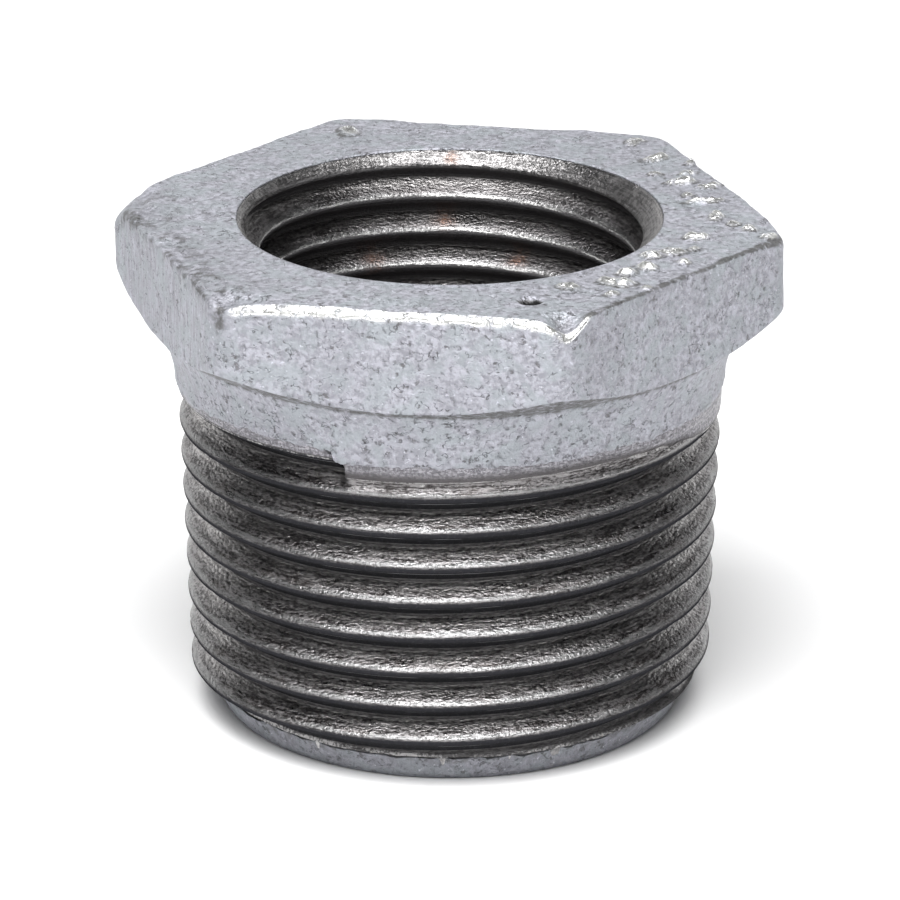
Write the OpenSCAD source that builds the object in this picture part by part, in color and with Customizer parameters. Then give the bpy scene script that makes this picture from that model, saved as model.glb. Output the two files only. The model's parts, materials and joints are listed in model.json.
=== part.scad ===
// Hexagon reducing bushing in malleable iron, hot-dip galvanised before it was threaded.
// A pipe of the smaller size screws into the hexagon end, and the taper thread outside
// screws into a fitting of the next size up.
// +Z runs along the bore to the hexagon end, and the origin is the centre of the small end.

/* [Overall] */
// Length along the bore, from the small end to the top of the hexagon
total_h = 25.1; // [24:0.1:28]
// Thickness of the zinc coat
coat_t = 0.08; // [0.06:0.01:0.12]

/* [Hexagon] */
// Distance between opposite wrench flats
across_flats = 29.2; // [28.8:0.1:31]
// Radius of the hexagon's cast corners
corner_r = 2; // [1:0.1:3]
// Bevel along the top edges of the flats
edge_bevel = 0.35; // [0.2:0.05:0.6]
// Slope of the underside of the corners, from level
underside_angle = 31; // [20:1:45]

/* [Collar] */
// Diameter where the collar meets the hexagon
collar_top_d = 28.6; // [28:0.1:28.8]
// Height where the collar meets the hexagon
collar_top_z = 19.85; // [19:0.05:20.5]
// Diameter at the foot of the collar's slope
collar_foot_d = 27.42; // [27.3:0.02:27.6]
// Height of the foot of the collar's slope
collar_foot_z = 18.2; // [17.6:0.1:18.6]
// Diameter at the collar's lower edge
collar_low_d = 27.14; // [27.1:0.02:27.24]
// Height of the collar's lower edge, where the zinc ends
collar_low_z = 17; // [16.8:0.1:17.2]

/* [Threads] */
// Threads per inch, the same inside and outside
threads_per_inch = 14; // [14:1:14]
// Crest diameter of the outer thread at its gauge plane
male_major_d = 26.441; // [26.441:0.001:26.441]
// Height of the gauge plane above the small end
gauge_z = 9.5; // [9:0.1:10]
// Length in which the outer thread's diameter grows by one
taper_ratio = 16; // [16:1:16]
// Height of the outer thread's lowest full crest
male_first_z = 2.63; // [2.5:0.01:2.8]
// Crests on the outer thread
male_crests = 8; // [6:1:8]
// Crest diameter of the inner thread
female_minor_d = 18.631; // [18.631:0.001:18.631]
// Depth of the inner thread's first full crest below the top
female_first_depth = 2.3; // [2:0.1:2.6]
// Crests on the inner thread
female_crests = 9; // [6:1:9]

/* [Bore and small end] */
// Diameter of the machined bevel at the mouth
mouth_d = 21; // [20.8:0.1:22]
// Diameter of the cast bore below the inner thread
cast_bore_d = 18; // [17.6:0.1:18.1]
// Diameter of the small end's face
end_d = 22.84; // [22.4:0.02:23]
// Diameter at the top of the plain lip
lip_d = 23.7; // [23.4:0.1:23.7]
// Height of the plain lip
lip_h = 1.3; // [1:0.1:1.5]

/* [Hidden] */

$fn = 96;

pitch = 25.4 / threads_per_inch;
thread_depth = 0.640327 * pitch;
crest_w = pitch / 6;
flank_w = pitch / 2 - crest_w;

apothem = across_flats / 2;
male_top_z = male_first_z + male_crests * pitch;
female_top_z = total_h - female_first_depth;
female_low_z = female_top_z - (female_crests - 1) * pitch;
cast_bore_top_z = female_low_z - pitch / 2 - crest_w / 2 - flank_w;

// Radius of the tube of iron that passes inside the hexagon
core_r = 12.8;
// How far a cutting shape runs past the face it cuts
past = 1;

// Crest radius of the outer thread at a height
function male_r(z) = male_major_d / 2 + (z - gauge_z) / taper_ratio / 2;

// One tooth of the outer thread, from its lower root to its upper root
function male_tooth(z) = [
    [male_r(z) - thread_depth, z - crest_w / 2 - flank_w],
    [male_r(z), z - crest_w / 2],
    [male_r(z), z + crest_w / 2],
    [male_r(z) - thread_depth, z + crest_w / 2 + flank_w]
];

// One tooth of the inner thread, from its upper root to its lower root
function female_tooth(z) = [
    [female_minor_d / 2 + thread_depth, z + crest_w / 2 + flank_w],
    [female_minor_d / 2, z + crest_w / 2],
    [female_minor_d / 2, z - crest_w / 2],
    [female_minor_d / 2 + thread_depth, z - crest_w / 2 - flank_w]
];

// Half section of the iron tube: up the outside, down through the bore.
// The teeth are level rings at the thread's pitch and depth.
tube_section = concat(
    [
        [cast_bore_d / 2 + coat_t, coat_t],
        [end_d / 2 - coat_t, coat_t],
        [lip_d / 2 - coat_t, lip_h]
    ],
    [for (i = [0:male_crests - 1]) each male_tooth(male_first_z + i * pitch)],
    [
        [male_r(male_top_z) - thread_depth, male_top_z - crest_w / 2 - flank_w],
        [collar_low_d / 2 - coat_t, collar_low_z],
        [core_r, collar_low_z],
        [core_r, total_h - coat_t],
        [female_minor_d / 2, total_h - coat_t],
        [female_minor_d / 2, female_top_z + pitch - crest_w / 2],
        [female_minor_d / 2 + thread_depth, female_top_z + pitch - crest_w / 2 - flank_w]
    ],
    [for (i = [0:female_crests - 1]) each female_tooth(female_top_z - i * pitch)],
    [
        [cast_bore_d / 2 + coat_t, cast_bore_top_z]
    ]
);

// Hexagonal prism with round corners, standing on the collar, set in by the given amount
module hexagon_prism(inset) {
    flat_r = apothem - inset;
    round_r = corner_r - inset;
    corner_dist = (flat_r - round_r) / cos(30);
    height = total_h - collar_top_z - inset;
    for (i = [0:2])
        rotate([0, 0, 60 * i + 30])
            translate([-flat_r, -corner_dist / 2, collar_top_z])
                cube([2 * flat_r, corner_dist, height]);
    for (i = [0:5])
        rotate([0, 0, 60 * i])
            translate([corner_dist, 0, collar_top_z])
                cylinder(r = round_r, h = height);
}

// Wedges that take the sharp edge off the top of each flat
module top_edge_cuts(inset) {
    bevel = edge_bevel - (2 - sqrt(2)) * inset;
    for (i = [0:5])
        rotate([0, 0, 60 * i + 30])
            translate([apothem - inset, 0, total_h - inset])
                rotate([0, 45, 0])
                    cube([bevel * sqrt(2), across_flats, bevel * sqrt(2)], center = true);
}

// Hexagon head, with the underside of its corners sloping in to the collar
module head_block(inset) {
    height = total_h - collar_top_z;
    foot_r = collar_top_d / 2 - inset;
    difference() {
        intersection() {
            hexagon_prism(inset);
            translate([0, 0, collar_top_z])
                cylinder(r1 = foot_r, r2 = foot_r + height / tan(underside_angle), h = height);
        }
        top_edge_cuts(inset);
    }
}

// Collar below the hexagon, from the given height up
module collar_block(inset, low_z) {
    rotate_extrude()
        polygon([
            [0, low_z],
            [collar_low_d / 2 - inset, low_z],
            [collar_low_d / 2 - inset, collar_low_z],
            [collar_foot_d / 2 - inset, collar_foot_z],
            [collar_top_d / 2 - inset, collar_top_z],
            [0, collar_top_z]
        ]);
}

// Bevel that opens the inner thread at the top
module mouth_cut() {
    depth = mouth_d / 2 - female_minor_d / 2 + past;
    translate([0, 0, total_h - depth])
        cylinder(r1 = mouth_d / 2 - depth, r2 = mouth_d / 2 + past, h = depth + past);
}

// The whole casting, with both threads cut in it
module iron_casting() {
    color("#4a4846")
        difference() {
            union() {
                rotate_extrude()
                    polygon(tube_section);
                difference() {
                    union() {
                        head_block(coat_t);
                        collar_block(coat_t, collar_low_z);
                    }
                    translate([0, 0, collar_low_z - past])
                        cylinder(r = core_r - past, h = total_h);
                }
            }
            mouth_cut();
        }
}

// Zinc left on the cast faces of the hexagon and the collar
module head_zinc_coat() {
    color("#aeb1b6")
        difference() {
            union() {
                head_block(0);
                collar_block(0, collar_low_z);
            }
            head_block(coat_t);
            collar_block(coat_t, collar_low_z - past);
            mouth_cut();
        }
}

// Zinc left on the plain lip, round the end face and up the cast bore
module end_zinc_coat() {
    color("#9fa2a6")
        rotate_extrude()
            polygon([
                [cast_bore_d / 2, 0],
                [end_d / 2, 0],
                [lip_d / 2, lip_h],
                [lip_d / 2 - coat_t, lip_h],
                [end_d / 2 - coat_t, coat_t],
                [cast_bore_d / 2 + coat_t, coat_t],
                [cast_bore_d / 2 + coat_t, cast_bore_top_z],
                [cast_bore_d / 2, cast_bore_top_z]
            ]);
}

iron_casting();
head_zinc_coat();
end_zinc_coat();
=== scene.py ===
"""Looks of a galvanised hexagon reducing bushing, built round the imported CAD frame."""
import itertools
import json
import math

import bmesh
import bpy
import numpy as np
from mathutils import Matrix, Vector


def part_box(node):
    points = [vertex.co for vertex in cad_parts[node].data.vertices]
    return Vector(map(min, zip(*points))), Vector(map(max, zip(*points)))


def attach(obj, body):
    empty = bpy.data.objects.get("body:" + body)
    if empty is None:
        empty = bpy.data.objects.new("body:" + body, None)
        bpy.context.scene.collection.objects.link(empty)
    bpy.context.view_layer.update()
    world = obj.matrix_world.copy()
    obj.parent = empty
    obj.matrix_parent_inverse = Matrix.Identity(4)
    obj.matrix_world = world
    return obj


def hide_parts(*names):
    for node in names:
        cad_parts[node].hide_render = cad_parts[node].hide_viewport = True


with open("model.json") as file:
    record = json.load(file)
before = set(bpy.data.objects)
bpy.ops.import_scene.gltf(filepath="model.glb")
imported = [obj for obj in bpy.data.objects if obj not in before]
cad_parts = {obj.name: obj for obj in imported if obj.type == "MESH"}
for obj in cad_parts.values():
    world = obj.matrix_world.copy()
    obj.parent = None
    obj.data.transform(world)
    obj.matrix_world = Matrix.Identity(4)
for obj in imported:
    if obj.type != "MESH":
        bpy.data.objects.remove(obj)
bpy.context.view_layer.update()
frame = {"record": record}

# ---------------------------------------------------------------- sizes, in mm and degrees

MM = 0.001

head_low, head_high = [[v / MM for v in corner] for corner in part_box("head_zinc_coat")]
iron_low = [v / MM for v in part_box("iron_casting")[0]]
end_low, end_high = [[v / MM for v in corner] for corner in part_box("end_zinc_coat")]
mounts = {mount["name"]: mount for mount in frame["record"]["mounts"]}

TOP_Z = head_high[2]
APOTHEM = head_high[1]
COAT_T = iron_low[2] - end_low[2]

# Hexagon and collar
CORNER_R = 2.0
UNDERSIDE_SLOPE = math.tan(math.radians(31))
COLLAR_TOP_Z = 19.85
COLLAR_TOP_R = 14.3
COLLAR_LOW_Z = head_low[2]
COLLAR_LOW_R = 13.57

# Threads of Whitworth form: the crest radii come from the record's mounts
PITCH = 25.4 / 14
THREAD_DEPTH = 0.640327 * PITCH
THREAD_ROUND_R = 0.137329 * PITCH
FLANK_ANGLE = math.radians(27.5)
# How much the male thread's radius grows in each millimetre of height
MALE_SLOPE = 1 / 32
MALE_GAUGE_R = mounts["male_thread"]["dims"]["r_mm"]
MALE_GAUGE_Z = mounts["male_thread"]["pos_m"][2] / MM
MALE_CREST_Z = 1.2165
FEMALE_R = mounts["female_thread"]["dims"]["r_mm"]
FEMALE_CREST_Z = 22.34
MOUTH_R = 10.5

# Small end
END_R = 11.42
LIP_R = end_high[0]
LIP_H = 1.3
CAST_BORE_R = 9.0
CAST_BORE_TOP = end_high[2]

# ---------------------------------------------------------------- noise and grids


def lattice(cells, seed):
    """A fixed value from -1 to 1 for each cell of a 3D lattice."""
    mask = 0xFFFFFFFF
    mixed = cells[:, 0] * 73856093 ^ cells[:, 1] * 19349663
    mixed = mixed ^ cells[:, 2] * 83492791 ^ seed * 2654435761
    mixed = (mixed & mask) ^ ((mixed & mask) >> 15)
    mixed = (mixed * 2246822519) & mask
    mixed = mixed ^ (mixed >> 13)
    mixed = (mixed * 3266489917) & mask
    mixed = mixed ^ (mixed >> 16)
    return mixed / (mask / 2) - 1


def lumps(points, size, seed):
    """Smooth noise from -1 to 1 at each point of a (..., 3) array, with lumps about size across."""
    flat = points.reshape(-1, 3) / size
    cell = np.floor(flat).astype(np.int64)
    part = flat - cell
    part = part * part * (3 - 2 * part)
    total = np.zeros(len(flat))
    for step in itertools.product((0, 1), repeat=3):
        weight = np.prod(np.where(np.array(step) == 1, part, 1 - part), axis=1)
        total += weight * lattice(cell + step, seed)
    return total.reshape(points.shape[:-1])


def smooth(value, low, high):
    """0 below low, 1 above high, and a smooth rise between."""
    t = np.clip((value - low) / (high - low), 0, 1)
    return t * t * (3 - 2 * t)


def turn_gap(angle, centre):
    """Angle from centre, in degrees, from -180 to 180."""
    return (angle - centre + 180) % 360 - 180


def columns(count):
    """Angles of a ring of points, in degrees."""
    return np.arange(count) * 360 / count


def ring_points(angle, radius, height):
    """Points round the axis from cylindrical coordinates."""
    turn = np.radians(angle)
    radius, height, turn = np.broadcast_arrays(radius, height, turn)
    return np.stack([radius * np.cos(turn), radius * np.sin(turn), height], axis=-1)


def flat_direction(angle):
    """Unit vector in the XY plane at an angle in degrees."""
    return np.array([math.cos(math.radians(angle)), math.sin(math.radians(angle))])


def axis_distance(points):
    """Distance of each point from the axis."""
    return np.linalg.norm(points[..., :2], axis=-1)


def grid_normals(points):
    """Unit normals of a (rows, columns, 3) grid that closes round the axis."""
    along = np.gradient(points, axis=0)
    around = (np.roll(points, -1, axis=1) - np.roll(points, 1, axis=1)) / 2
    normal = np.cross(along, around)
    return normal / (np.linalg.norm(normal, axis=-1, keepdims=True) + 1e-12)


# Points closer than this are joined
MERGE_DISTANCE = 0.0005 * MM


class Loft:
    """A mesh made of grids that close round the axis, joined where their edges meet."""

    def __init__(self):
        self.points = []
        self.faces = []
        self.marks = {}
        self.count = 0

    def add(self, points, shift=0, flip=False, **marks):
        """Adds a (rows, columns, 3) grid. shift is how many rows the grid climbs in one turn."""
        rows, cols = points.shape[:2]
        index = self.count + np.arange(rows * cols).reshape(rows, cols)
        row = np.arange(rows)
        beside = np.concatenate([index[:, 1:], index[np.minimum(row + shift, rows - 1), :1]], axis=1)
        quads = np.stack([index[:-1], beside[:-1], beside[1:], index[1:]], axis=-1).reshape(-1, 4)
        self.faces.append(quads[:, ::-1] if flip else quads)
        self.points.append(points.reshape(-1, 3))
        for name, values in marks.items():
            self.marks.setdefault(name, {})[self.count] = values.reshape(rows * cols, -1)
        self.count += rows * cols

    def build(self, name, node, material):
        """Makes the object, which stands for a CAD node and rides on the one body."""
        mesh = bpy.data.meshes.new(name)
        vertices = np.concatenate(self.points) * MM
        mesh.from_pydata(vertices.tolist(), [], np.concatenate(self.faces).tolist())
        for mark, parts in self.marks.items():
            size = next(iter(parts.values())).shape[1]
            values = np.zeros((self.count, size), dtype=np.float32)
            for start, part in parts.items():
                values[start:start + len(part)] = part
            kind = "FLOAT_VECTOR" if size == 3 else "FLOAT"
            layer = mesh.attributes.new(mark, kind, "POINT")
            layer.data.foreach_set("vector" if size == 3 else "value", values.ravel())
        work = bmesh.new()
        work.from_mesh(mesh)
        bmesh.ops.remove_doubles(work, verts=work.verts, dist=MERGE_DISTANCE)
        bmesh.ops.dissolve_degenerate(work, edges=work.edges, dist=MERGE_DISTANCE)
        bmesh.ops.recalc_face_normals(work, faces=work.faces)
        for face in work.faces:
            face.smooth = True
        work.to_mesh(mesh)
        work.free()
        mesh.materials.append(material)
        piece = bpy.data.objects.new(name, mesh)
        bpy.context.scene.collection.objects.link(piece)
        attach(piece, "root")
        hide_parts(node)
        return piece


# ---------------------------------------------------------------- hexagon and collar

# The as-cast hexagon sits a little to one side of the machined axis, and is a little wide
HEAD_SHIFT = -0.17
HEAD_STRETCH = 1.004


def hexagon_radius(angle):
    """Distance from the axis to the side of a true hexagon with round corners."""
    corner_dist = (APOTHEM - CORNER_R) / math.cos(math.radians(30))
    off = np.radians(turn_gap(angle, 60 * np.round(angle / 60)))
    flat = APOTHEM / np.cos(math.radians(30) - np.abs(off))
    reach = np.maximum(CORNER_R ** 2 - (corner_dist * np.sin(off)) ** 2, 0)
    arc = corner_dist * np.cos(off) + np.sqrt(reach)
    arc_end = math.atan2(CORNER_R / 2, corner_dist + CORNER_R * math.cos(math.radians(30)))
    return np.where(np.abs(off) < arc_end, arc, flat)


def side_radius(angle):
    """Distance from the machined axis to the side of the as-cast hexagon."""
    turn = np.radians(angle)
    radius = hexagon_radius(angle)
    for _ in range(6):
        x = (radius * np.cos(turn) - HEAD_SHIFT) / HEAD_STRETCH
        y = radius * np.sin(turn)
        radius = radius * hexagon_radius(np.degrees(np.arctan2(y, x))) / np.hypot(x, y)
    return radius


def at_corners(angle, base, extras, spread):
    """A base value plus a bump at each corner, starting at +X and going round."""
    total = np.full_like(angle, base)
    for corner, extra in enumerate(extras):
        total += extra * np.exp(-(turn_gap(angle, 60 * corner) / spread) ** 2)
    return total


# Radii of the rings on which the unevenness of an edge is read
TOP_RING_R = 15.5
ZINC_RING_R = 13.5
LIP_RING_R = 11.8


def top_rounding(angle):
    """Radius of the top edge."""
    uneven = 0.07 * lumps(ring_points(angle, TOP_RING_R, 0.0), 0.5, 31)
    front = 0.2 * smooth(angle, 240, 246) * smooth(angle, 304, 298)
    return at_corners(angle, 0.2, (0.3, 0.1, 0.1, 1.1, 0.12, 0.0), 7.0) + uneven + front


def top_drop(angle):
    """How far the top edge is knocked down."""
    uneven = 0.05 * lumps(ring_points(angle, TOP_RING_R, 0.0), 1.1, 33)
    knock = at_corners(angle, 0.0, (0.0, 0.0, 0.0, 0.0, 0.15, 0.66), 2.8)
    return at_corners(angle, 0.05, (0.15, 0.0, 0.0, 0.3, 0.2, 0.0), 7.0) + uneven + knock


def foot_rounding(angle):
    """Radius where the flats end above the collar."""
    return at_corners(angle, 0.2, (0.2, 0.0, 0.0, 0.7, 0.08, 0.0), 7.0)


def collar_radius(z):
    """The collar widens towards the hexagon."""
    rise = np.maximum(z - COLLAR_LOW_Z, 0) / (COLLAR_TOP_Z - COLLAR_LOW_Z)
    return COLLAR_LOW_R + (COLLAR_TOP_R - COLLAR_LOW_R) * rise ** 2


# The highest male groove stops short at this angle, between the crests of these turns
GROOVE_END = 258.0
LAST_TURN = 7


def zinc_low_edge(angle):
    """Height where the zinc stops above the male thread."""
    turn_down = GROOVE_END - 1.5
    raised = 0.44 * smooth(angle, 205, 238) * (angle < turn_down)
    lowered = -0.15 * np.exp(-np.abs(angle - GROOVE_END) / 8) * (angle > turn_down)
    ring = ring_points(angle, ZINC_RING_R, 0.0)
    ragged = 0.06 * lumps(ring, 0.7, 41) + 0.07 * lumps(ring, 0.25, 42)
    return COLLAR_LOW_Z + raised + lowered + ragged


def head_profile(angle, inset, steps):
    """Rows of (radius, height, zone) down the outside of the head, from the mouth to the zinc's edge.

    The zone runs from 0 to 1 across the top, to 2 round the edge, to 3 down the flat, to 4 under it,
    and to 5 down the collar. The steps are how many rows each of the five has.
    """
    top_steps, edge_steps, flat_steps, under_steps, collar_steps = steps
    side = side_radius(angle) - inset
    edge = top_rounding(angle)
    drop = top_drop(angle)
    top = TOP_Z - inset
    mouth = MOUTH_R - inset
    rows = []
    for t in np.linspace(0, 1, top_steps):
        r = mouth + (side - edge - mouth) * t
        rows.append((r, top - drop * smooth(side - r, 1.7, 0.1 + edge), t))
    for t in np.linspace(0, 1, edge_steps)[1:]:
        turn = t * math.pi / 2
        r = side - edge + edge * math.sin(turn)
        rows.append((r, top - drop - edge + edge * math.cos(turn), 1 + t))
    # The flat ends in a small round edge, which runs on into the sloping underside
    foot = foot_rounding(angle)
    lean = math.pi / 2 - math.atan(UNDERSIDE_SLOPE)
    under = side - foot + foot * math.cos(lean) - (COLLAR_TOP_R - inset)
    foot_z = COLLAR_TOP_Z + under * UNDERSIDE_SLOPE + foot * math.sin(lean)
    start = top - drop - edge
    for t in np.linspace(0, 1, flat_steps)[1:]:
        rows.append((side, start + (foot_z - start) * t, 2 + t))
    for t in np.linspace(0, 1, 5)[1:]:
        turn = t * lean
        rows.append((side - foot + foot * math.cos(turn), foot_z - foot * math.sin(turn), 3 + 0.3 * t))
    under_r, under_z, _ = rows[-1]
    for t in np.linspace(0, 1, under_steps)[1:]:
        r = under_r + (COLLAR_TOP_R - inset - under_r) * t
        rows.append((r, under_z + (COLLAR_TOP_Z - under_z) * t, 3.3 + 0.7 * t))
    low = zinc_low_edge(angle)
    for t in np.linspace(0, 1, collar_steps)[1:]:
        z = COLLAR_TOP_Z + (low - COLLAR_TOP_Z) * t
        rows.append((collar_radius(z) - inset, z, 4 + t))
    return [np.array([np.broadcast_to(row[part], angle.shape) for row in rows]) for part in range(3)]


# Angle, radius, length, width, direction and height of each cast lump or bar
HEAD_LUMPS = (
    (61, 14.7, 1.0, 0.8, 30, 0.26),
    (51, 13.7, 1.7, 0.7, 40, 0.36),
    (45, 14.7, 0.9, 0.6, 60, 0.24),
    (42, 12.0, 0.8, 0.6, 10, 0.24),
    (39, 13.5, 1.0, 0.5, 30, 0.26),
    (34, 12.5, 1.6, 0.8, 26, 0.34),
    (29, 13.6, 1.4, 0.5, 30, 0.28),
    (24, 12.0, 0.7, 0.6, 0, 0.22),
    (19, 12.7, 2.0, 0.5, 20, 0.30),
    (8, 13.0, 1.0, 0.7, 60, 0.28),
    (4, 13.8, 0.8, 0.7, 0, 0.26),
    (1, 14.6, 0.8, 0.6, 40, 0.30),
    (0, 15.7, 1.0, 0.8, 40, 0.34),
    (354, 12.4, 1.1, 0.9, 30, 0.36),
    (346, 12.9, 0.7, 0.5, 0, 0.22),
    (342, 12.2, 1.3, 0.8, 20, 0.34),
    (338, 13.3, 0.7, 0.6, 60, 0.26),
    (337, 11.6, 1.0, 0.8, 20, 0.32),
    (330, 12.3, 1.0, 0.8, 20, 0.34),
    (324, 12.2, 1.0, 0.8, 10, 0.30),
    (318, 12.8, 1.7, 0.9, 0, 0.34),
    (308, 12.2, 1.0, 0.8, 340, 0.32),
    (321, 14.2, 0.6, 0.5, 0, 0.26),
    (313, 14.0, 0.8, 0.5, 60, 0.26),
    (122, 14.2, 1.4, 1.0, 100, 0.24),
)

# Angle, radius, width and depth of each hole in the top face
HEAD_HOLES = (
    (297, 13.2, 0.95, 0.45),
    (290, 12.1, 0.3, 0.12),
    (12, 13.1, 0.4, 0.15),
    (88, 13.6, 0.4, 0.15),
)


def head_marks(points):
    """Height of worn cast lumps and bars on the top face. They spell nothing."""
    sway = np.stack([lumps(points, 0.7, 24), lumps(points, 0.7, 25)], axis=-1)
    flat = points[..., :2] + 0.16 * sway
    rise = np.zeros(points.shape[:-1])
    for angle, radius, length, width, turn, height in HEAD_LUMPS:
        centre = flat_direction(angle) * radius
        axis = flat_direction(turn)
        gap = flat - centre
        along = gap @ axis / (length / 2)
        across = gap @ np.array([-axis[1], axis[0]]) / (width / 2)
        rise = np.maximum(rise, 0.85 * height * np.exp(-((along ** 2 + across ** 2) ** 1.7)))
    ragged = 1 + 0.5 * lumps(points, 0.4, 23)
    return rise * ragged


def head_holes(points, wider=0.0, deeper=0.0):
    """Depth of the small blow holes in the top face."""
    depth = np.zeros(points.shape[:-1])
    for angle, radius, width, deep in HEAD_HOLES:
        centre = flat_direction(angle) * radius
        gap = np.linalg.norm(points[..., :2] - centre, axis=-1)
        depth = np.maximum(depth, (deep + deeper) * np.exp(-(2 * gap / (width + wider)) ** 4))
    return depth * smooth(points[..., 2], TOP_Z - 1, TOP_Z - 0.6)


def rough_edge(angle, zone):
    """Where the top edge was left rough, from the left corner to the front left one."""
    band = smooth(zone, 0.55, 0.85) * smooth(zone, 2.35, 1.8)
    return band * smooth(angle, 170, 188) * smooth(angle, 241, 236)


def wide_rough_edge(angle, zone):
    """Where grime lies on and beside the rough edge."""
    band = smooth(zone, 0.35, 0.85) * smooth(zone, 2.25, 1.9)
    return band * smooth(angle, 165, 190) * smooth(angle, 243, 238)


def cast_relief(points):
    """How far the sand-cast face stands out or in."""
    wide = 0.05 * lumps(points, 5.0, 3) + 0.03 * lumps(points, 2.1, 5)
    fine = 0.016 * lumps(points, 0.8, 7) + 0.012 * lumps(points, 0.34, 9)
    return wide + fine


def head_surface(angle, inset, steps, marked):
    """Grid of points on the head's outside, with masks for its material."""
    radius, height, zone = head_profile(angle, inset, steps)
    points = ring_points(angle, radius, height)
    normal = grid_normals(points)
    # The cut edges stay where the machining left them
    from_mouth = smooth(radius + (TOP_Z - height), MOUTH_R, MOUTH_R + 0.3)
    rough = rough_edge(angle, zone)
    rise = cast_relief(points) + rough * (0.1 * lumps(points, 0.8, 13) + 0.07 * lumps(points, 0.4, 15))
    if not marked:
        # The faces behind the zinc keep clear of the holes
        rise = rise - head_holes(points, wider=3.2, deeper=0.15)
        return points + normal * (rise * from_mouth)[..., None], {}
    raised = head_marks(points) * smooth(zone, 1.7, 1.0)
    holes = head_holes(points)
    rise = rise + raised - holes
    crown = smooth(raised, 0.07, 0.16)
    # Painted shade in a ring round the foot of each raised lump
    lump_foot_shade = smooth(raised, 0.004, 0.03) * (1 - smooth(raised, 0.05, 0.12))
    # Painted shade under the flats and in the crease where they meet the collar
    underside_shade = smooth(zone, 3.12, 3.24) * smooth(zone, 4.08, 4.0)
    uneven = 0.5 + 0.5 * lumps(points, 1.3, 17)
    # One top edge is worn bright, which is partly a painted highlight, and the next two round to the right
    # are darker
    front = smooth(angle, 241, 244) * smooth(angle, 305, 303)
    edge = smooth(zone, 1.1, 1.3) * smooth(zone, 2.03, 1.95) * front
    right = smooth(zone, 0.94, 1.0) * smooth(zone, 1.9, 1.4)
    right = right * ((angle > 303) | (angle < 3)) * (0.6 + uneven)
    border = 0.6 * smooth(zone, 4.86, 5.0) * uneven
    knock = at_corners(angle, 0.0, (0.0, 0.0, 0.0, 0.0, 0.0, 0.5), 3.5)
    knock = knock * smooth(zone, 0.7, 0.9) * smooth(zone, 1.2, 1.05)
    # Painted shade in the notch at the front-left corner
    notch_shade = at_corners(angle, 0.0, (0.0, 0.0, 0.0, 0.0, 1.1, 0.0), 1.1)
    notch_shade = notch_shade * smooth(zone, 0.9, 1.1) * smooth(zone, 2.5, 2.1)
    speck = smooth(lumps(points, 0.35, 19) + 0.7 * lumps(points, 1.0, 20), -0.1, 0.5)
    smudge = 0.8 * np.exp(-(turn_gap(angle, 342) / 1.3) ** 2 - ((height - 23.4) / 0.3) ** 2) * speck
    # The stain mask holds real dirt and painted shade; the holes are scaled over 1.4 so that they are
    # painted near black, as shadow
    stain = np.maximum.reduce([
        border, lump_foot_shade, knock, 2.4 * smooth(holes, 0.05, 0.2), underside_shade * (0.8 + 0.4 * uneven),
        wide_rough_edge(angle, zone) * (0.25 + 0.6 * speck), right, notch_shade, smudge,
    ])
    left = smooth(angle, 160, 175) * smooth(angle, 240, 234) * smooth(zone, 1.5, 2.0)
    masks = {"stain": stain, "polish": np.maximum(crown, edge), "drawn": left}
    return points + normal * (rise * from_mouth)[..., None], masks


# ---------------------------------------------------------------- threads

# Heights within one pitch where a thread's rows lie: the crest is at 0
THREAD_ROWS = (-0.5, -0.44, -0.38, -0.25, -0.12, -0.08, -0.04, 0.0, 0.04, 0.08, 0.12, 0.25, 0.38, 0.44)


def thread_cut(phase):
    """Depth of a Whitworth thread from 0 at the crest to 1 at the root, for a phase of 0 at the crest."""
    gap = np.abs(phase - np.round(phase)) * PITCH
    from_root = PITCH / 2 - gap
    slope = 1 / math.tan(FLANK_ANGLE)
    crest_arc = THREAD_ROUND_R - np.sqrt(np.maximum(THREAD_ROUND_R ** 2 - gap ** 2, 0))
    root_arc = THREAD_DEPTH - THREAD_ROUND_R + np.sqrt(np.maximum(THREAD_ROUND_R ** 2 - from_root ** 2, 0))
    straight = THREAD_DEPTH / 2 + (gap - PITCH / 4) * slope
    tangent = THREAD_ROUND_R * math.cos(FLANK_ANGLE)
    depth = np.where(gap < tangent, crest_arc, np.where(from_root < tangent, root_arc, straight))
    return depth / THREAD_DEPTH


def helix_heights(angle, crest_z, low, high):
    """Row heights of a right-hand thread, held between a low and a high edge."""
    first = math.floor((np.min(low) - crest_z) / PITCH) - 2
    last = math.ceil((np.max(high) - crest_z) / PITCH) + 1
    turns = [turn + row for turn in range(first, last) for row in THREAD_ROWS]
    climb = np.array(turns)[:, None] + angle[None, :] / 360
    return np.clip(crest_z + PITCH * climb, low, high)


def thread_phase(angle, z, crest_z):
    """Turns from the crest at that angle, counted up the thread."""
    return (z - crest_z) / PITCH - angle / 360


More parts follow.
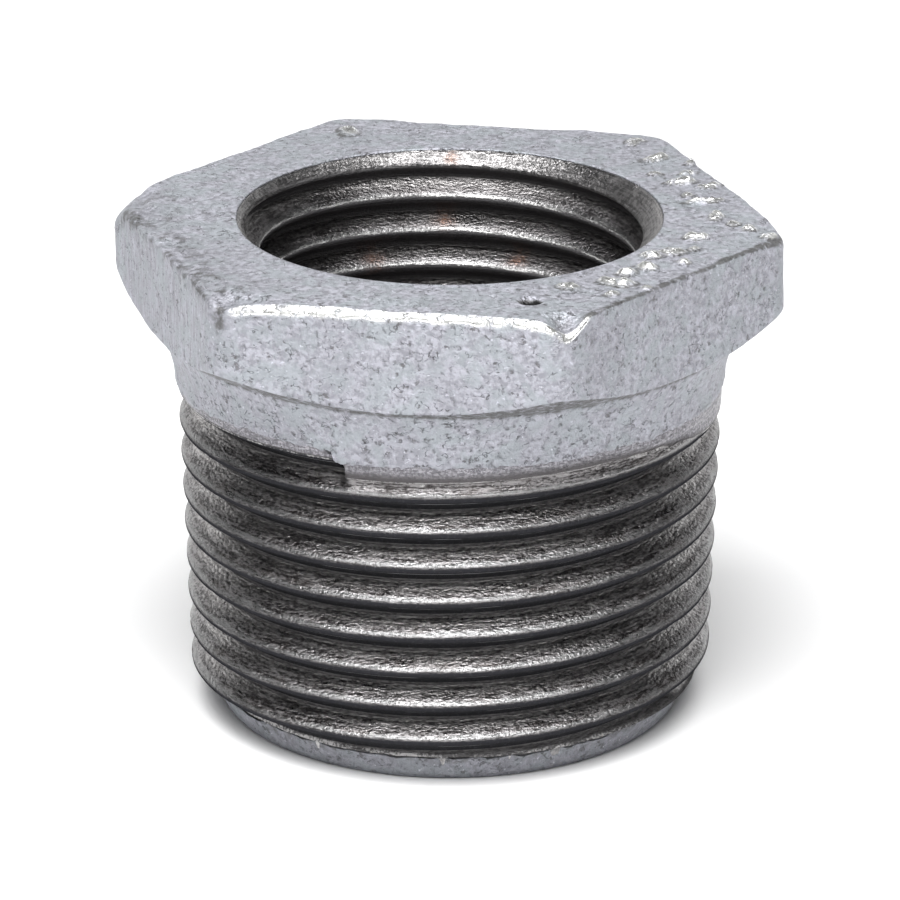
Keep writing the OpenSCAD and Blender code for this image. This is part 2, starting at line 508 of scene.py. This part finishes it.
def male_surface(angle, z):
    """Radius of the male thread, and how deep in the groove each point is."""
    phase = thread_phase(angle, z, MALE_CREST_Z)
    crest = MALE_GAUGE_R + (z - MALE_GAUGE_Z) * MALE_SLOPE
    past_end = (phase > LAST_TURN) & (angle > GROOVE_END - 3)
    fade = np.where(past_end, smooth(angle, GROOVE_END + 1, GROOVE_END - 1), phase < LAST_TURN + 1)
    # Beyond the groove's end the tool only left a shallow step
    above = phase - LAST_TURN
    late = smooth(angle, 310, 358)
    step = 0.28 * smooth(above, 0.1, 0.37) * smooth(above, 0.47, 0.38) * past_end * (1 - late)
    depth = np.maximum(thread_cut(phase) * fade, step)
    # 1 where the land above the last thread starts, rising to 2 at its top
    foot = LAST_TURN + np.where(angle > GROOVE_END, 0.43 - 0.49 * late, 0.94)
    full = foot + np.where(angle > GROOVE_END, 0.4 - 0.3 * late, 0.1)
    land = smooth(phase, foot, foot + 0.06) + smooth(phase, foot + 0.06, full)
    burr = 0.5 * np.exp(-((above - 0.33) / 0.04) ** 2) * past_end * smooth(angle, 310, 262)
    land = np.maximum(land, burr)
    # The plain end below the first thread stays dark, with torn metal at its foot
    land = np.maximum(land, 0.5 * np.exp(-((z - LIP_H - 0.12) / 0.11) ** 2))
    spot = ring_points(angle, 13.0, z)
    torn = 0.035 * smooth(lumps(spot * (1, 1, 2.0), 0.8, 61), 0.3, 0.9)
    cut = crest - THREAD_DEPTH * depth - torn * (depth < 0.3)
    cast = np.where(z > LIP_H + 1.0, collar_radius(z), COLLAR_LOW_R) - COAT_T
    lead = LIP_R - COAT_T + np.clip(z - LIP_H, 0, None) * 2.1
    slope = END_R + (LIP_R - END_R) * z / LIP_H - COAT_T
    blank = np.minimum(cast, np.where(z > LIP_H, lead, slope))
    return np.minimum(cut, blank), np.maximum(depth, smooth(z, LIP_H + 0.75, LIP_H + 0.5)), phase, land


def female_surface(angle, z):
    """Radius of the female thread with its bevelled mouth, and the depth in the groove."""
    phase = thread_phase(angle, z, FEMALE_CREST_Z)
    start = smooth(z, CAST_BORE_TOP + 0.05, CAST_BORE_TOP + 1.6)
    depth = thread_cut(phase)
    cast = CAST_BORE_R + COAT_T
    groove = cast + (FEMALE_R - cast) * start + THREAD_DEPTH * depth * start
    bevel = MOUTH_R - (TOP_Z - z)
    return np.maximum(groove, bevel), depth, phase, smooth(bevel - groove, -0.03, 0.05)


def lip_edge(angle):
    """How far up or down the zinc's torn edge on the lip wanders."""
    ring = ring_points(angle, LIP_RING_R, 0.0)
    return 0.09 * lumps(ring, 0.8, 43) + 0.08 * lumps(ring, 0.45, 44)


def groove_mark(phase, depth):
    """Phase as a cosine and sine, and depth in the groove, for the material."""
    turn = 2 * math.pi * phase
    return np.stack([np.cos(turn), np.sin(turn), depth], axis=-1)


# ---------------------------------------------------------------- materials


class Nodes:
    """Short calls for one material's node tree."""

    def __init__(self, name):
        self.material = bpy.data.materials.new(name)
        self.material.use_nodes = True
        self.tree = self.material.node_tree
        self.shader = self.tree.nodes["Principled BSDF"]

    def link(self, source, target):
        """Joins an output to an input."""
        self.tree.links.new(source, target)

    def new(self, kind, inputs=(), **settings):
        """A node with its settings, and its inputs set to values or joined to outputs."""
        node = self.tree.nodes.new(kind)
        for key, value in settings.items():
            setattr(node, key, value)
        for key, value in dict(inputs).items():
            if hasattr(value, "is_output"):
                self.link(value, node.inputs[key])
            else:
                node.inputs[key].default_value = value
        return node

    def place(self, stretch=(1, 1, 1)):
        """Object coordinates in millimetres, stretched."""
        source = self.new("ShaderNodeTexCoord").outputs["Object"]
        scale = tuple(1000 * s for s in stretch)
        return self.new("ShaderNodeVectorMath", {0: source, 1: scale}, operation="MULTIPLY").outputs[0]

    def attribute(self, name):
        """One of the mesh's own masks."""
        return self.new("ShaderNodeAttribute", attribute_name=name, attribute_type="GEOMETRY")

    def noise(self, vector, scale, detail=3.0, rough=0.55):
        """Noise with about that many lumps in a millimetre."""
        inputs = {"Vector": vector, "Scale": scale, "Detail": detail, "Roughness": rough}
        return self.new("ShaderNodeTexNoise", inputs).outputs["Fac"]

    def streaks(self, phase_cos, phase_sin, along, across):
        """Noise drawn out along the thread, which stays unbroken all round."""
        parts = self.new("ShaderNodeSeparateXYZ", {0: self.place((along, along, 0.7))}).outputs
        high = self.calc(parts[2], self.calc(phase_cos, across, "MULTIPLY"))
        vector = self.new("ShaderNodeCombineXYZ", {0: parts[0], 1: parts[1], 2: high}).outputs[0]
        fourth = self.calc(phase_sin, across, "MULTIPLY")
        inputs = {"Vector": vector, "W": fourth, "Scale": 1.0, "Detail": 3.0}
        return self.new("ShaderNodeTexNoise", inputs, noise_dimensions="4D").outputs["Fac"]

    def ramp(self, value, low, high, start=0.0, end=1.0):
        """start below low, end above high, and a smooth change between."""
        inputs = {"Value": value, 1: low, 2: high, 3: start, 4: end}
        return self.new("ShaderNodeMapRange", inputs, interpolation_type="SMOOTHSTEP").outputs[0]

    def mix(self, factor, first, second):
        """The first colour where the factor is 0, and the second where it is 1."""
        node = self.new("ShaderNodeMix", data_type="RGBA")
        for key, value in ((0, factor), (6, first), (7, second)):
            if hasattr(value, "is_output"):
                self.link(value, node.inputs[key])
            elif key:
                node.inputs[key].default_value = (*value, 1) if len(value) == 3 else value
            else:
                node.inputs[key].default_value = value
        return node.outputs[2]

    def calc(self, first, second, operation="ADD"):
        """The sum of two values, or another operation on them."""
        return self.new("ShaderNodeMath", {0: first, 1: second}, operation=operation).outputs[0]

    def bump(self, height, distance):
        """Relief of that many millimetres for each unit of height."""
        inputs = {"Height": height, "Distance": distance * MM}
        self.link(self.new("ShaderNodeBump", inputs).outputs[0], self.shader.inputs["Normal"])


# Zinc is a slightly blue grey
ZINC_TINT = (0.985, 0.99, 1.1)


def zinc(value):
    """A zinc colour of a given brightness."""
    return tuple(value * part for part in ZINC_TINT)


def zinc_material(name, bright):
    """Hot-dip zinc on a sand-cast face: mottled grey with pits, cracks and bright flecks."""
    m = Nodes(name)
    place = m.place()
    stain = m.attribute("stain").outputs["Fac"]
    polish = m.attribute("polish").outputs["Fac"]
    drawn = m.attribute("drawn").outputs["Fac"]
    cloud = m.noise(place, 0.3, 3.0)
    patch = m.noise(place, 0.75, 2.0)
    mottle = m.noise(place, 3.4, 2.0, 0.6)
    upright = m.noise(m.place((4.5, 4.5, 0.7)), 1.0, 3.0, 0.6)
    mottled = m.calc(mottle, m.calc(1.0, drawn, "SUBTRACT"), "MULTIPLY")
    grain = m.calc(mottled, m.calc(upright, drawn, "MULTIPLY"))
    base = m.mix(m.ramp(grain, 0.34, 0.66), zinc(bright * 0.74), zinc(bright * 1.22))
    cool = tuple(bright * part for part in (0.9, 0.99, 1.04))
    base = m.mix(m.ramp(m.noise(place, 0.9, 3.0), 0.42, 0.62, 0.0, 0.6), base, cool)
    base = m.mix(m.ramp(cloud, 0.35, 0.65, 0.0, 0.3), base, zinc(bright * 0.75))
    fleck = m.ramp(m.noise(place, 4.6, 2.0), 0.66, 0.74, 0.0, 0.7)
    base = m.mix(fleck, base, zinc(0.68))
    pit = m.ramp(m.noise(place, 3.0, 3.0, 0.65), 0.55, 0.7)
    pitted = m.calc(pit, m.ramp(patch, 0.4, 0.65, 0.15, 0.75), "MULTIPLY")
    base = m.mix(pitted, base, (0.12, 0.115, 0.115))
    vein = m.calc(m.calc(m.noise(m.place((1.0, 1.3, 1.3)), 1.3, 2.0), 0.5, "SUBTRACT"), 0.0, "ABSOLUTE")
    crack = m.ramp(vein, 0.0, 0.016, 0.75, 0.0)
    crack = m.calc(crack, m.ramp(m.noise(place, 1.1, 2.0), 0.53, 0.6), "MULTIPLY")
    base = m.mix(crack, base, (0.08, 0.08, 0.08))
    # Darkened where the stain mask is set: real dirt, and painted shade under the flats, round the lumps'
    # feet and in the front-left notch
    dirt_and_shade = m.calc(stain, m.ramp(m.noise(place, 2.6, 3.0, 0.6), 0.3, 0.6, 0.25, 1.0), "MULTIPLY")
    base = m.mix(m.ramp(dirt_and_shade, 0.0, 1.0, 0.0, 0.85), base, (0.1, 0.098, 0.093))
    # Painted shadow: the blow holes are painted near black
    base = m.mix(m.ramp(stain, 1.4, 2.2), base, (0.008, 0.008, 0.008))
    # Worn bright zinc on the lumps' tops and along the front top edge, which on that edge is partly a
    # painted highlight
    shine = m.calc(polish, m.ramp(m.noise(place, 2.6, 2.0), 0.36, 0.5, 0.25, 1.0), "MULTIPLY")
    base = m.mix(shine, base, (0.86, 0.86, 0.84))
    m.link(base, m.shader.inputs["Base Color"])
    m.link(m.ramp(shine, 0.0, 1.0, 0.55, 0.9), m.shader.inputs["Metallic"])
    rough = m.calc(m.ramp(grain, 0.3, 0.7, 0.48, 0.66), m.ramp(shine, 0.0, 1.0, 0.0, 0.24), "SUBTRACT")
    m.link(rough, m.shader.inputs["Roughness"])
    fine = m.calc(crack, m.noise(place, 7.0, 2.0), "SUBTRACT")
    height = m.calc(m.calc(grain, pit, "SUBTRACT"), fine, "SUBTRACT")
    m.bump(m.calc(height, m.ramp(shine, 0.0, 1.0, 1.0, 0.35), "MULTIPLY"), 0.075)
    return m.material


# A radius that parts the bore's surface from the male thread's
INSIDE_R = 11.0


def iron_material():
    """Iron as the thread tools left it: scratched flanks and bright crest edges, with the crests,
    down-facing sides and roots painted dark as shade and the deep flanks painted lighter as light.
    """
    m = Nodes("cut_iron")
    groove = m.attribute("groove").outputs["Vector"]
    phase_cos, phase_sin, depth = m.new("ShaderNodeSeparateXYZ", {0: groove}).outputs
    turn = m.calc(phase_sin, phase_cos, "ARCTAN2")
    phase = m.calc(turn, 1 / (2 * math.pi), "MULTIPLY")
    bevel = m.attribute("bevel").outputs["Fac"]
    rust = m.attribute("rust").outputs["Fac"]
    land = m.attribute("land").outputs["Fac"]
    fine = m.streaks(phase_cos, phase_sin, 4.0, 4.5)
    long = m.streaks(phase_cos, phase_sin, 0.7, 4.5)
    patch = m.streaks(phase_cos, phase_sin, 0.6, 0.6)
    streak = m.calc(m.calc(fine, 0.55, "MULTIPLY"), m.calc(long, 0.45, "MULTIPLY"))
    place = m.place()
    grain = m.noise(place, 7.0, 3.0, 0.6)
    cloud = m.noise(place, 0.5, 2.0)
    # Grey-brown flank with fine scratches, painted lighter deeper in the groove and painted dark at the
    # root, as light and shade
    flank = m.mix(m.ramp(streak, 0.42, 0.58), (0.066, 0.061, 0.061), (0.39, 0.375, 0.378))
    flank = m.mix(m.ramp(patch, 0.45, 0.7, 0.0, 0.4), flank, (0.13, 0.112, 0.104))
    flank = m.mix(m.ramp(grain, 0.62, 0.72, 0.0, 0.6), flank, (0.75, 0.74, 0.73))
    flank = m.mix(m.ramp(grain, 0.38, 0.28, 0.0, 0.45), flank, (0.05, 0.046, 0.045))
    # Painted light: deeper in the groove the flank is painted lighter, standing in for light that reaches
    # in there
    painted_deep_light = m.mix(m.ramp(streak, 0.4, 0.6), (0.3, 0.284, 0.28), (0.85, 0.825, 0.815))
    flank = m.mix(m.ramp(depth, 0.35, 0.7, 0.0, 0.85), flank, painted_deep_light)
    # Painted shade at the root of the groove
    flank = m.mix(m.ramp(depth, 0.9, 0.98, 0.0, 0.88), flank, (0.035, 0.034, 0.036))
    # Painted shade: the crest and the side that faces down are painted dark, with a thin lighter line
    # along that side
    dark = m.mix(m.ramp(phase, -0.12, -0.06), (0.022, 0.022, 0.024), (0.03, 0.03, 0.034))
    dark = m.mix(m.ramp(grain, 0.5, 0.7, 0.0, 0.35), dark, (0.06, 0.06, 0.066))
    thin = m.calc(m.ramp(phase, -0.22, -0.19), m.ramp(phase, -0.18, -0.16, 1.0, 0.0), "MULTIPLY")
    dark = m.mix(m.calc(thin, m.ramp(patch, 0.45, 0.6, 0.0, 0.8), "MULTIPLY"), dark, (0.24, 0.24, 0.25))
    base = m.mix(m.ramp(phase, 0.0, 0.12), dark, flank)
    # Burnished line along the crest's upper edge
    torn = m.calc(m.calc(patch, grain), -1.0)
    edge = m.calc(phase, m.calc(torn, 0.16, "MULTIPLY"))
    line = m.calc(m.ramp(phase, 0.04, 0.12), m.ramp(edge, 0.125, 0.165, 1.0, 0.0), "MULTIPLY")
    line = m.calc(line, m.ramp(grain, 0.36, 0.54, 0.25, 1.0), "MULTIPLY")
    base = m.mix(line, base, (0.34, 0.34, 0.34))
    # The plain turned band above the last thread
    coarse = m.mix(m.ramp(grain, 0.4, 0.6), (0.2, 0.195, 0.215), (0.42, 0.41, 0.44))
    band = m.mix(m.ramp(streak, 0.4, 0.6, 0.0, 0.5), coarse, (0.12, 0.117, 0.122))
    band = m.mix(m.ramp(land, 1.0, 2.0), (0.1, 0.094, 0.097), band)
    base = m.mix(m.ramp(land, 0.9, 1.0), base, band)
    burr = m.calc(m.ramp(land, 0.05, 0.35), m.ramp(land, 0.65, 0.95, 1.0, 0.0), "MULTIPLY")
    burr = m.calc(burr, m.ramp(m.calc(patch, grain), 0.88, 1.12, 0.05, 0.95), "MULTIPLY")
    base = m.mix(burr, base, (0.5, 0.49, 0.49))
    # Turned bevel at the mouth
    upright = m.noise(m.place((3.5, 3.5, 0.8)), 1.0, 3.0, 0.6)
    level = m.noise(m.place((0.4, 0.4, 9.0)), 1.0, 3.0, 0.6)
    brushed = m.calc(upright, level)
    bright = m.mix(m.ramp(brushed, 0.85, 1.15), (0.35, 0.34, 0.34), (0.15, 0.146, 0.146))
    base = m.mix(bevel, base, bright)
    # In the bore the colours are pulled half way to a mid grey, painted light and shade for the inside of
    # the bore, and each crest gets a thin bright line, worn metal that is partly a painted highlight
    level_place = m.place((1, 1, 0))
    reach = m.new("ShaderNodeVectorMath", {0: level_place}, operation="LENGTH").outputs["Value"]
    inside = m.ramp(reach, INSIDE_R, INSIDE_R + 0.3, 1.0, 0.0)
    inside = m.calc(inside, m.calc(1.0, bevel, "SUBTRACT"), "MULTIPLY")
    base = m.mix(m.calc(inside, 0.5, "MULTIPLY"), base, (0.17, 0.163, 0.166))
    rim = m.calc(m.ramp(edge, 0.02, 0.05), m.ramp(edge, 0.07, 0.1, 1.0, 0.0), "MULTIPLY")
    rim = m.calc(rim, m.ramp(long, 0.4, 0.55, 0.2, 1.0), "MULTIPLY")
    base = m.mix(m.calc(inside, rim, "MULTIPLY"), base, (0.6, 0.6, 0.59))
    orange = m.mix(m.ramp(grain, 0.35, 0.6), (0.4, 0.15, 0.05), (0.15, 0.06, 0.03))
    base = m.mix(rust, base, orange)
    m.link(base, m.shader.inputs["Base Color"])
    metal = m.calc(m.ramp(phase, 0.0, 0.09), m.ramp(depth, 0.92, 0.99, 1.0, 0.15), "MULTIPLY")
    metal = m.calc(metal, m.calc(land, bevel), "MAXIMUM")
    metal = m.calc(metal, m.ramp(rust, 0.0, 1.0, 1.0, 0.1), "MINIMUM")
    m.link(metal, m.shader.inputs["Metallic"])
    m.shader.inputs["Specular IOR Level"].default_value = 0.0
    rough = m.ramp(streak, 0.3, 0.7, 0.24, 0.36)
    m.link(m.calc(rough, m.ramp(cloud, 0.3, 0.7, 0.0, 0.1)), m.shader.inputs["Roughness"])
    m.bump(m.calc(m.calc(fine, 1.5, "MULTIPLY"), grain), 0.045)
    return m.material


# ---------------------------------------------------------------- pieces

IRON_COLUMNS = 320
ZINC_COLUMNS = 720

# Rows of the head's top, edge, flat, underside and collar: in view, inside the zinc, and on the iron
OUTER_STEPS = (36, 8, 32, 5, 22)
INNER_STEPS = (10, 4, 3, 3, 3)
HIDDEN_STEPS = (4, 4, 6, 3, 4)
# The hidden iron stays this far behind the zinc's inner face
HIDDEN_GAP = 0.03

# Angle, height and size of each rust spot in the bore
RUST_SPOTS = ((100, 24.8, 0.3), (102, 21.6, 0.5), (80, 19.6, 0.5), (124, 19.6, 0.6))


def rust_mark(points):
    """How rusty each point is."""
    amount = np.zeros(points.shape[:-1])
    for angle, height, size in RUST_SPOTS:
        centre = ring_points(np.array(float(angle)), 10.0, height)
        gap = np.linalg.norm(points - centre, axis=-1)
        amount = np.maximum(amount, np.exp(-(gap / size) ** 2))
    return amount * (0.5 + 0.4 * lumps(points, 0.3, 71))


def make_iron(material):
    """The casting: male thread, hidden faces under the zinc, bevelled mouth, female thread and bore."""
    angle = columns(IRON_COLUMNS)
    loft = Loft()
    low = LIP_H + lip_edge(angle)
    high = zinc_low_edge(angle)
    z = helix_heights(angle, MALE_CREST_Z, low, high)
    radius, depth, phase, land = male_surface(angle, z)
    male = ring_points(angle, radius, z)
    rows = len(THREAD_ROWS)
    loft.add(
        male, shift=rows,
        groove=groove_mark(phase, depth), bevel=0 * z, rust=0 * z, land=land,
    )

    hidden = head_surface(angle, COAT_T + HIDDEN_GAP, HIDDEN_STEPS, marked=False)[0][::-1]

    z = helix_heights(angle, FEMALE_CREST_Z, CAST_BORE_TOP, TOP_Z - COAT_T)
    radius, depth, phase, bevel = female_surface(angle, z)
    female = ring_points(angle, radius, z)
    loft.add(np.concatenate([male[-1:], hidden[1:-1], female[-1:]]))
    loft.add(
        female, shift=rows, flip=True,
        groove=groove_mark(phase, depth), bevel=bevel, rust=rust_mark(female), land=0 * z,
    )

    inner = CAST_BORE_R + COAT_T
    foot = [(inner, CAST_BORE_TOP), (inner, COAT_T), (END_R - COAT_T, COAT_T)]
    rings = [ring_points(angle, r, h) for r, h in foot]
    loft.add(np.array([female[0], *rings[1:], male[0]]))
    return loft.build("casting", "iron_casting", material)


def make_head_coat(material):
    """The zinc on the hexagon and collar, as a closed thin shell."""
    loft = Loft()
    outer, masks = head_surface(columns(ZINC_COLUMNS), 0, OUTER_STEPS, marked=True)
    inner, _ = head_surface(columns(ZINC_COLUMNS), COAT_T, INNER_STEPS, marked=False)
    loft.add(outer, **masks)
    loft.add(inner, flip=True)
    loft.add(np.stack([inner[0], outer[0]]))
    loft.add(np.stack([outer[-1], inner[-1]]))
    return loft.build("head_coat", "head_zinc_coat", material)


def end_profile(inset):
    """Rows of (radius, height) round the small end, from the lip's top edge up into the cast bore."""
    round_r = 0.25
    lean = END_R - LIP_R
    rows = [(LIP_R - inset + lean * t, LIP_H * (1 - t)) for t in np.linspace(0, 0.8, 14)]
    for turn in np.linspace(0, math.pi / 2, 6):
        out = END_R - inset - round_r + round_r * math.cos(turn)
        rows.append((out, inset + round_r - round_r * math.sin(turn)))
    inner = CAST_BORE_R + inset
    for t in np.linspace(0, 1, 14)[1:-1]:
        across = inner + round_r - END_R + inset + round_r
        rows.append((END_R - inset - round_r + across * t, inset))
    for turn in np.linspace(0, math.pi / 2, 6):
        out = inner + round_r - round_r * math.sin(turn)
        rows.append((out, inset + round_r - round_r * math.cos(turn)))
    for t in np.linspace(0, 1, 16)[1:]:
        rows.append((inner, inset + round_r + (CAST_BORE_TOP - inset - round_r) * t))
    return rows


def make_end_coat(material):
    """The zinc on the lip, the end face and the cast bore, as a closed thin shell."""
    angle = columns(IRON_COLUMNS)
    ragged = lip_edge(angle)
    shells = []
    for inset in (0, COAT_T):
        rings = [ring_points(angle, r, np.full_like(angle, h)) for r, h in end_profile(inset)]
        points = np.array(rings)
        near_lip = smooth(points[..., 2], 0.4, LIP_H) * (axis_distance(points) > END_R - 0.1)
        points[..., 2] += near_lip * ragged
        normal = grid_normals(points)
        relief = 0.4 * cast_relief(points) * smooth(points[..., 2], 0.0, 0.5)
        shells.append(points + normal * relief[..., None])
    outer, inner = shells
    outer[..., 2] = np.maximum(outer[..., 2], 0)
    uneven = 0.5 + 0.5 * lumps(outer, 0.6, 45)
    stain = smooth(outer[..., 2], 0.7, 1.3) * uneven * (axis_distance(outer) > END_R - 0.1)
    loft = Loft()
    loft.add(outer, stain=stain, polish=0 * stain, drawn=0 * stain)
    loft.add(inner, flip=True)
    loft.add(np.stack([inner[0], outer[0]]))
    loft.add(np.stack([outer[-1], inner[-1]]))
    return loft.build("end_coat", "end_zinc_coat", material)


make_iron(iron_material())
make_head_coat(zinc_material("head_zinc", 0.42))
make_end_coat(zinc_material("end_zinc", 0.3))

# ---------------------------------------------------------------- floor, light and camera


# Half the floor's side, in metres
FLOOR_REACH = 4.0

# The camera's azimuth and elevation in degrees, distance in metres, and lens in millimetres
CAMERA_AZIMUTH = 10.5
CAMERA_ELEVATION = 20.97
CAMERA_DISTANCE = 0.2711
CAMERA_LENS = 218.3
CAMERA_SENSOR = 36

# The point that the camera and the lights face, a little above the middle
CENTRE = Vector((0, 0, (TOP_Z / 2 + 0.2) * MM))


def make_floor():
    """A plain pale floor that runs far past the view."""
    corners = [(x * FLOOR_REACH, y * FLOOR_REACH, 0) for x, y in ((-1, -1), (1, -1), (1, 1), (-1, 1))]
    mesh = bpy.data.meshes.new("floor")
    mesh.from_pydata(corners, [], [(0, 1, 2, 3)])
    material = bpy.data.materials.new("floor")
    material.use_nodes = True
    shader = material.node_tree.nodes["Principled BSDF"]
    shader.inputs["Base Color"].default_value = (0.9, 0.9, 0.9, 1)
    shader.inputs["Roughness"].default_value = 0.9
    mesh.materials.append(material)
    floor = bpy.data.objects.new("floor", mesh)
    bpy.context.scene.collection.objects.link(floor)


def direction(azimuth, elevation):
    """Unit vector from the object, for a camera azimuth of 0 looking along +Y."""
    turn, rise = math.radians(azimuth), math.radians(elevation)
    level = math.cos(rise)
    return Vector((math.sin(turn) * level, -math.cos(turn) * level, math.sin(rise)))


def make_light(name, azimuth, elevation, distance, width, height, power):
    """A soft rectangular light that faces the object."""
    light = bpy.data.lights.new(name, "AREA")
    light.shape = "RECTANGLE"
    light.size = width
    light.size_y = height
    light.energy = power
    lamp = bpy.data.objects.new(name, light)
    away = direction(azimuth, elevation)
    lamp.location = CENTRE + away * distance
    lamp.rotation_euler = away.to_track_quat("Z", "Y").to_euler()
    bpy.context.scene.collection.objects.link(lamp)


def make_world(strength):
    """Even pale surroundings."""
    world = bpy.data.worlds.new("studio")
    world.use_nodes = True
    background = world.node_tree.nodes["Background"]
    background.inputs["Color"].default_value = (0.96, 0.97, 1.0, 1)
    background.inputs["Strength"].default_value = strength
    bpy.context.scene.world = world


def make_camera():
    """A long lens, from the front and above."""
    camera = bpy.data.cameras.new("camera")
    camera.sensor_width = CAMERA_SENSOR
    camera.lens = CAMERA_LENS
    camera.clip_start = 0.01
    seat = bpy.data.objects.new("camera", camera)
    away = direction(CAMERA_AZIMUTH, CAMERA_ELEVATION)
    seat.location = CENTRE + away * CAMERA_DISTANCE
    seat.rotation_euler = away.to_track_quat("Z", "Y").to_euler()
    bpy.context.scene.collection.objects.link(seat)
    bpy.context.scene.camera = seat


make_floor()
make_world(0.08)
make_light("key", azimuth=2, elevation=67, distance=0.4, width=0.34, height=0.28, power=3.35)
make_light("left_rim", azimuth=-142, elevation=8, distance=0.45, width=0.4, height=0.16, power=0.32)
make_light("right_rim", azimuth=163, elevation=8, distance=0.45, width=0.4, height=0.16, power=0.32)
make_light("front", azimuth=2, elevation=32, distance=0.5, width=0.8, height=0.2, power=0.36)
make_camera()
bpy.context.scene.view_settings.view_transform = "Standard"
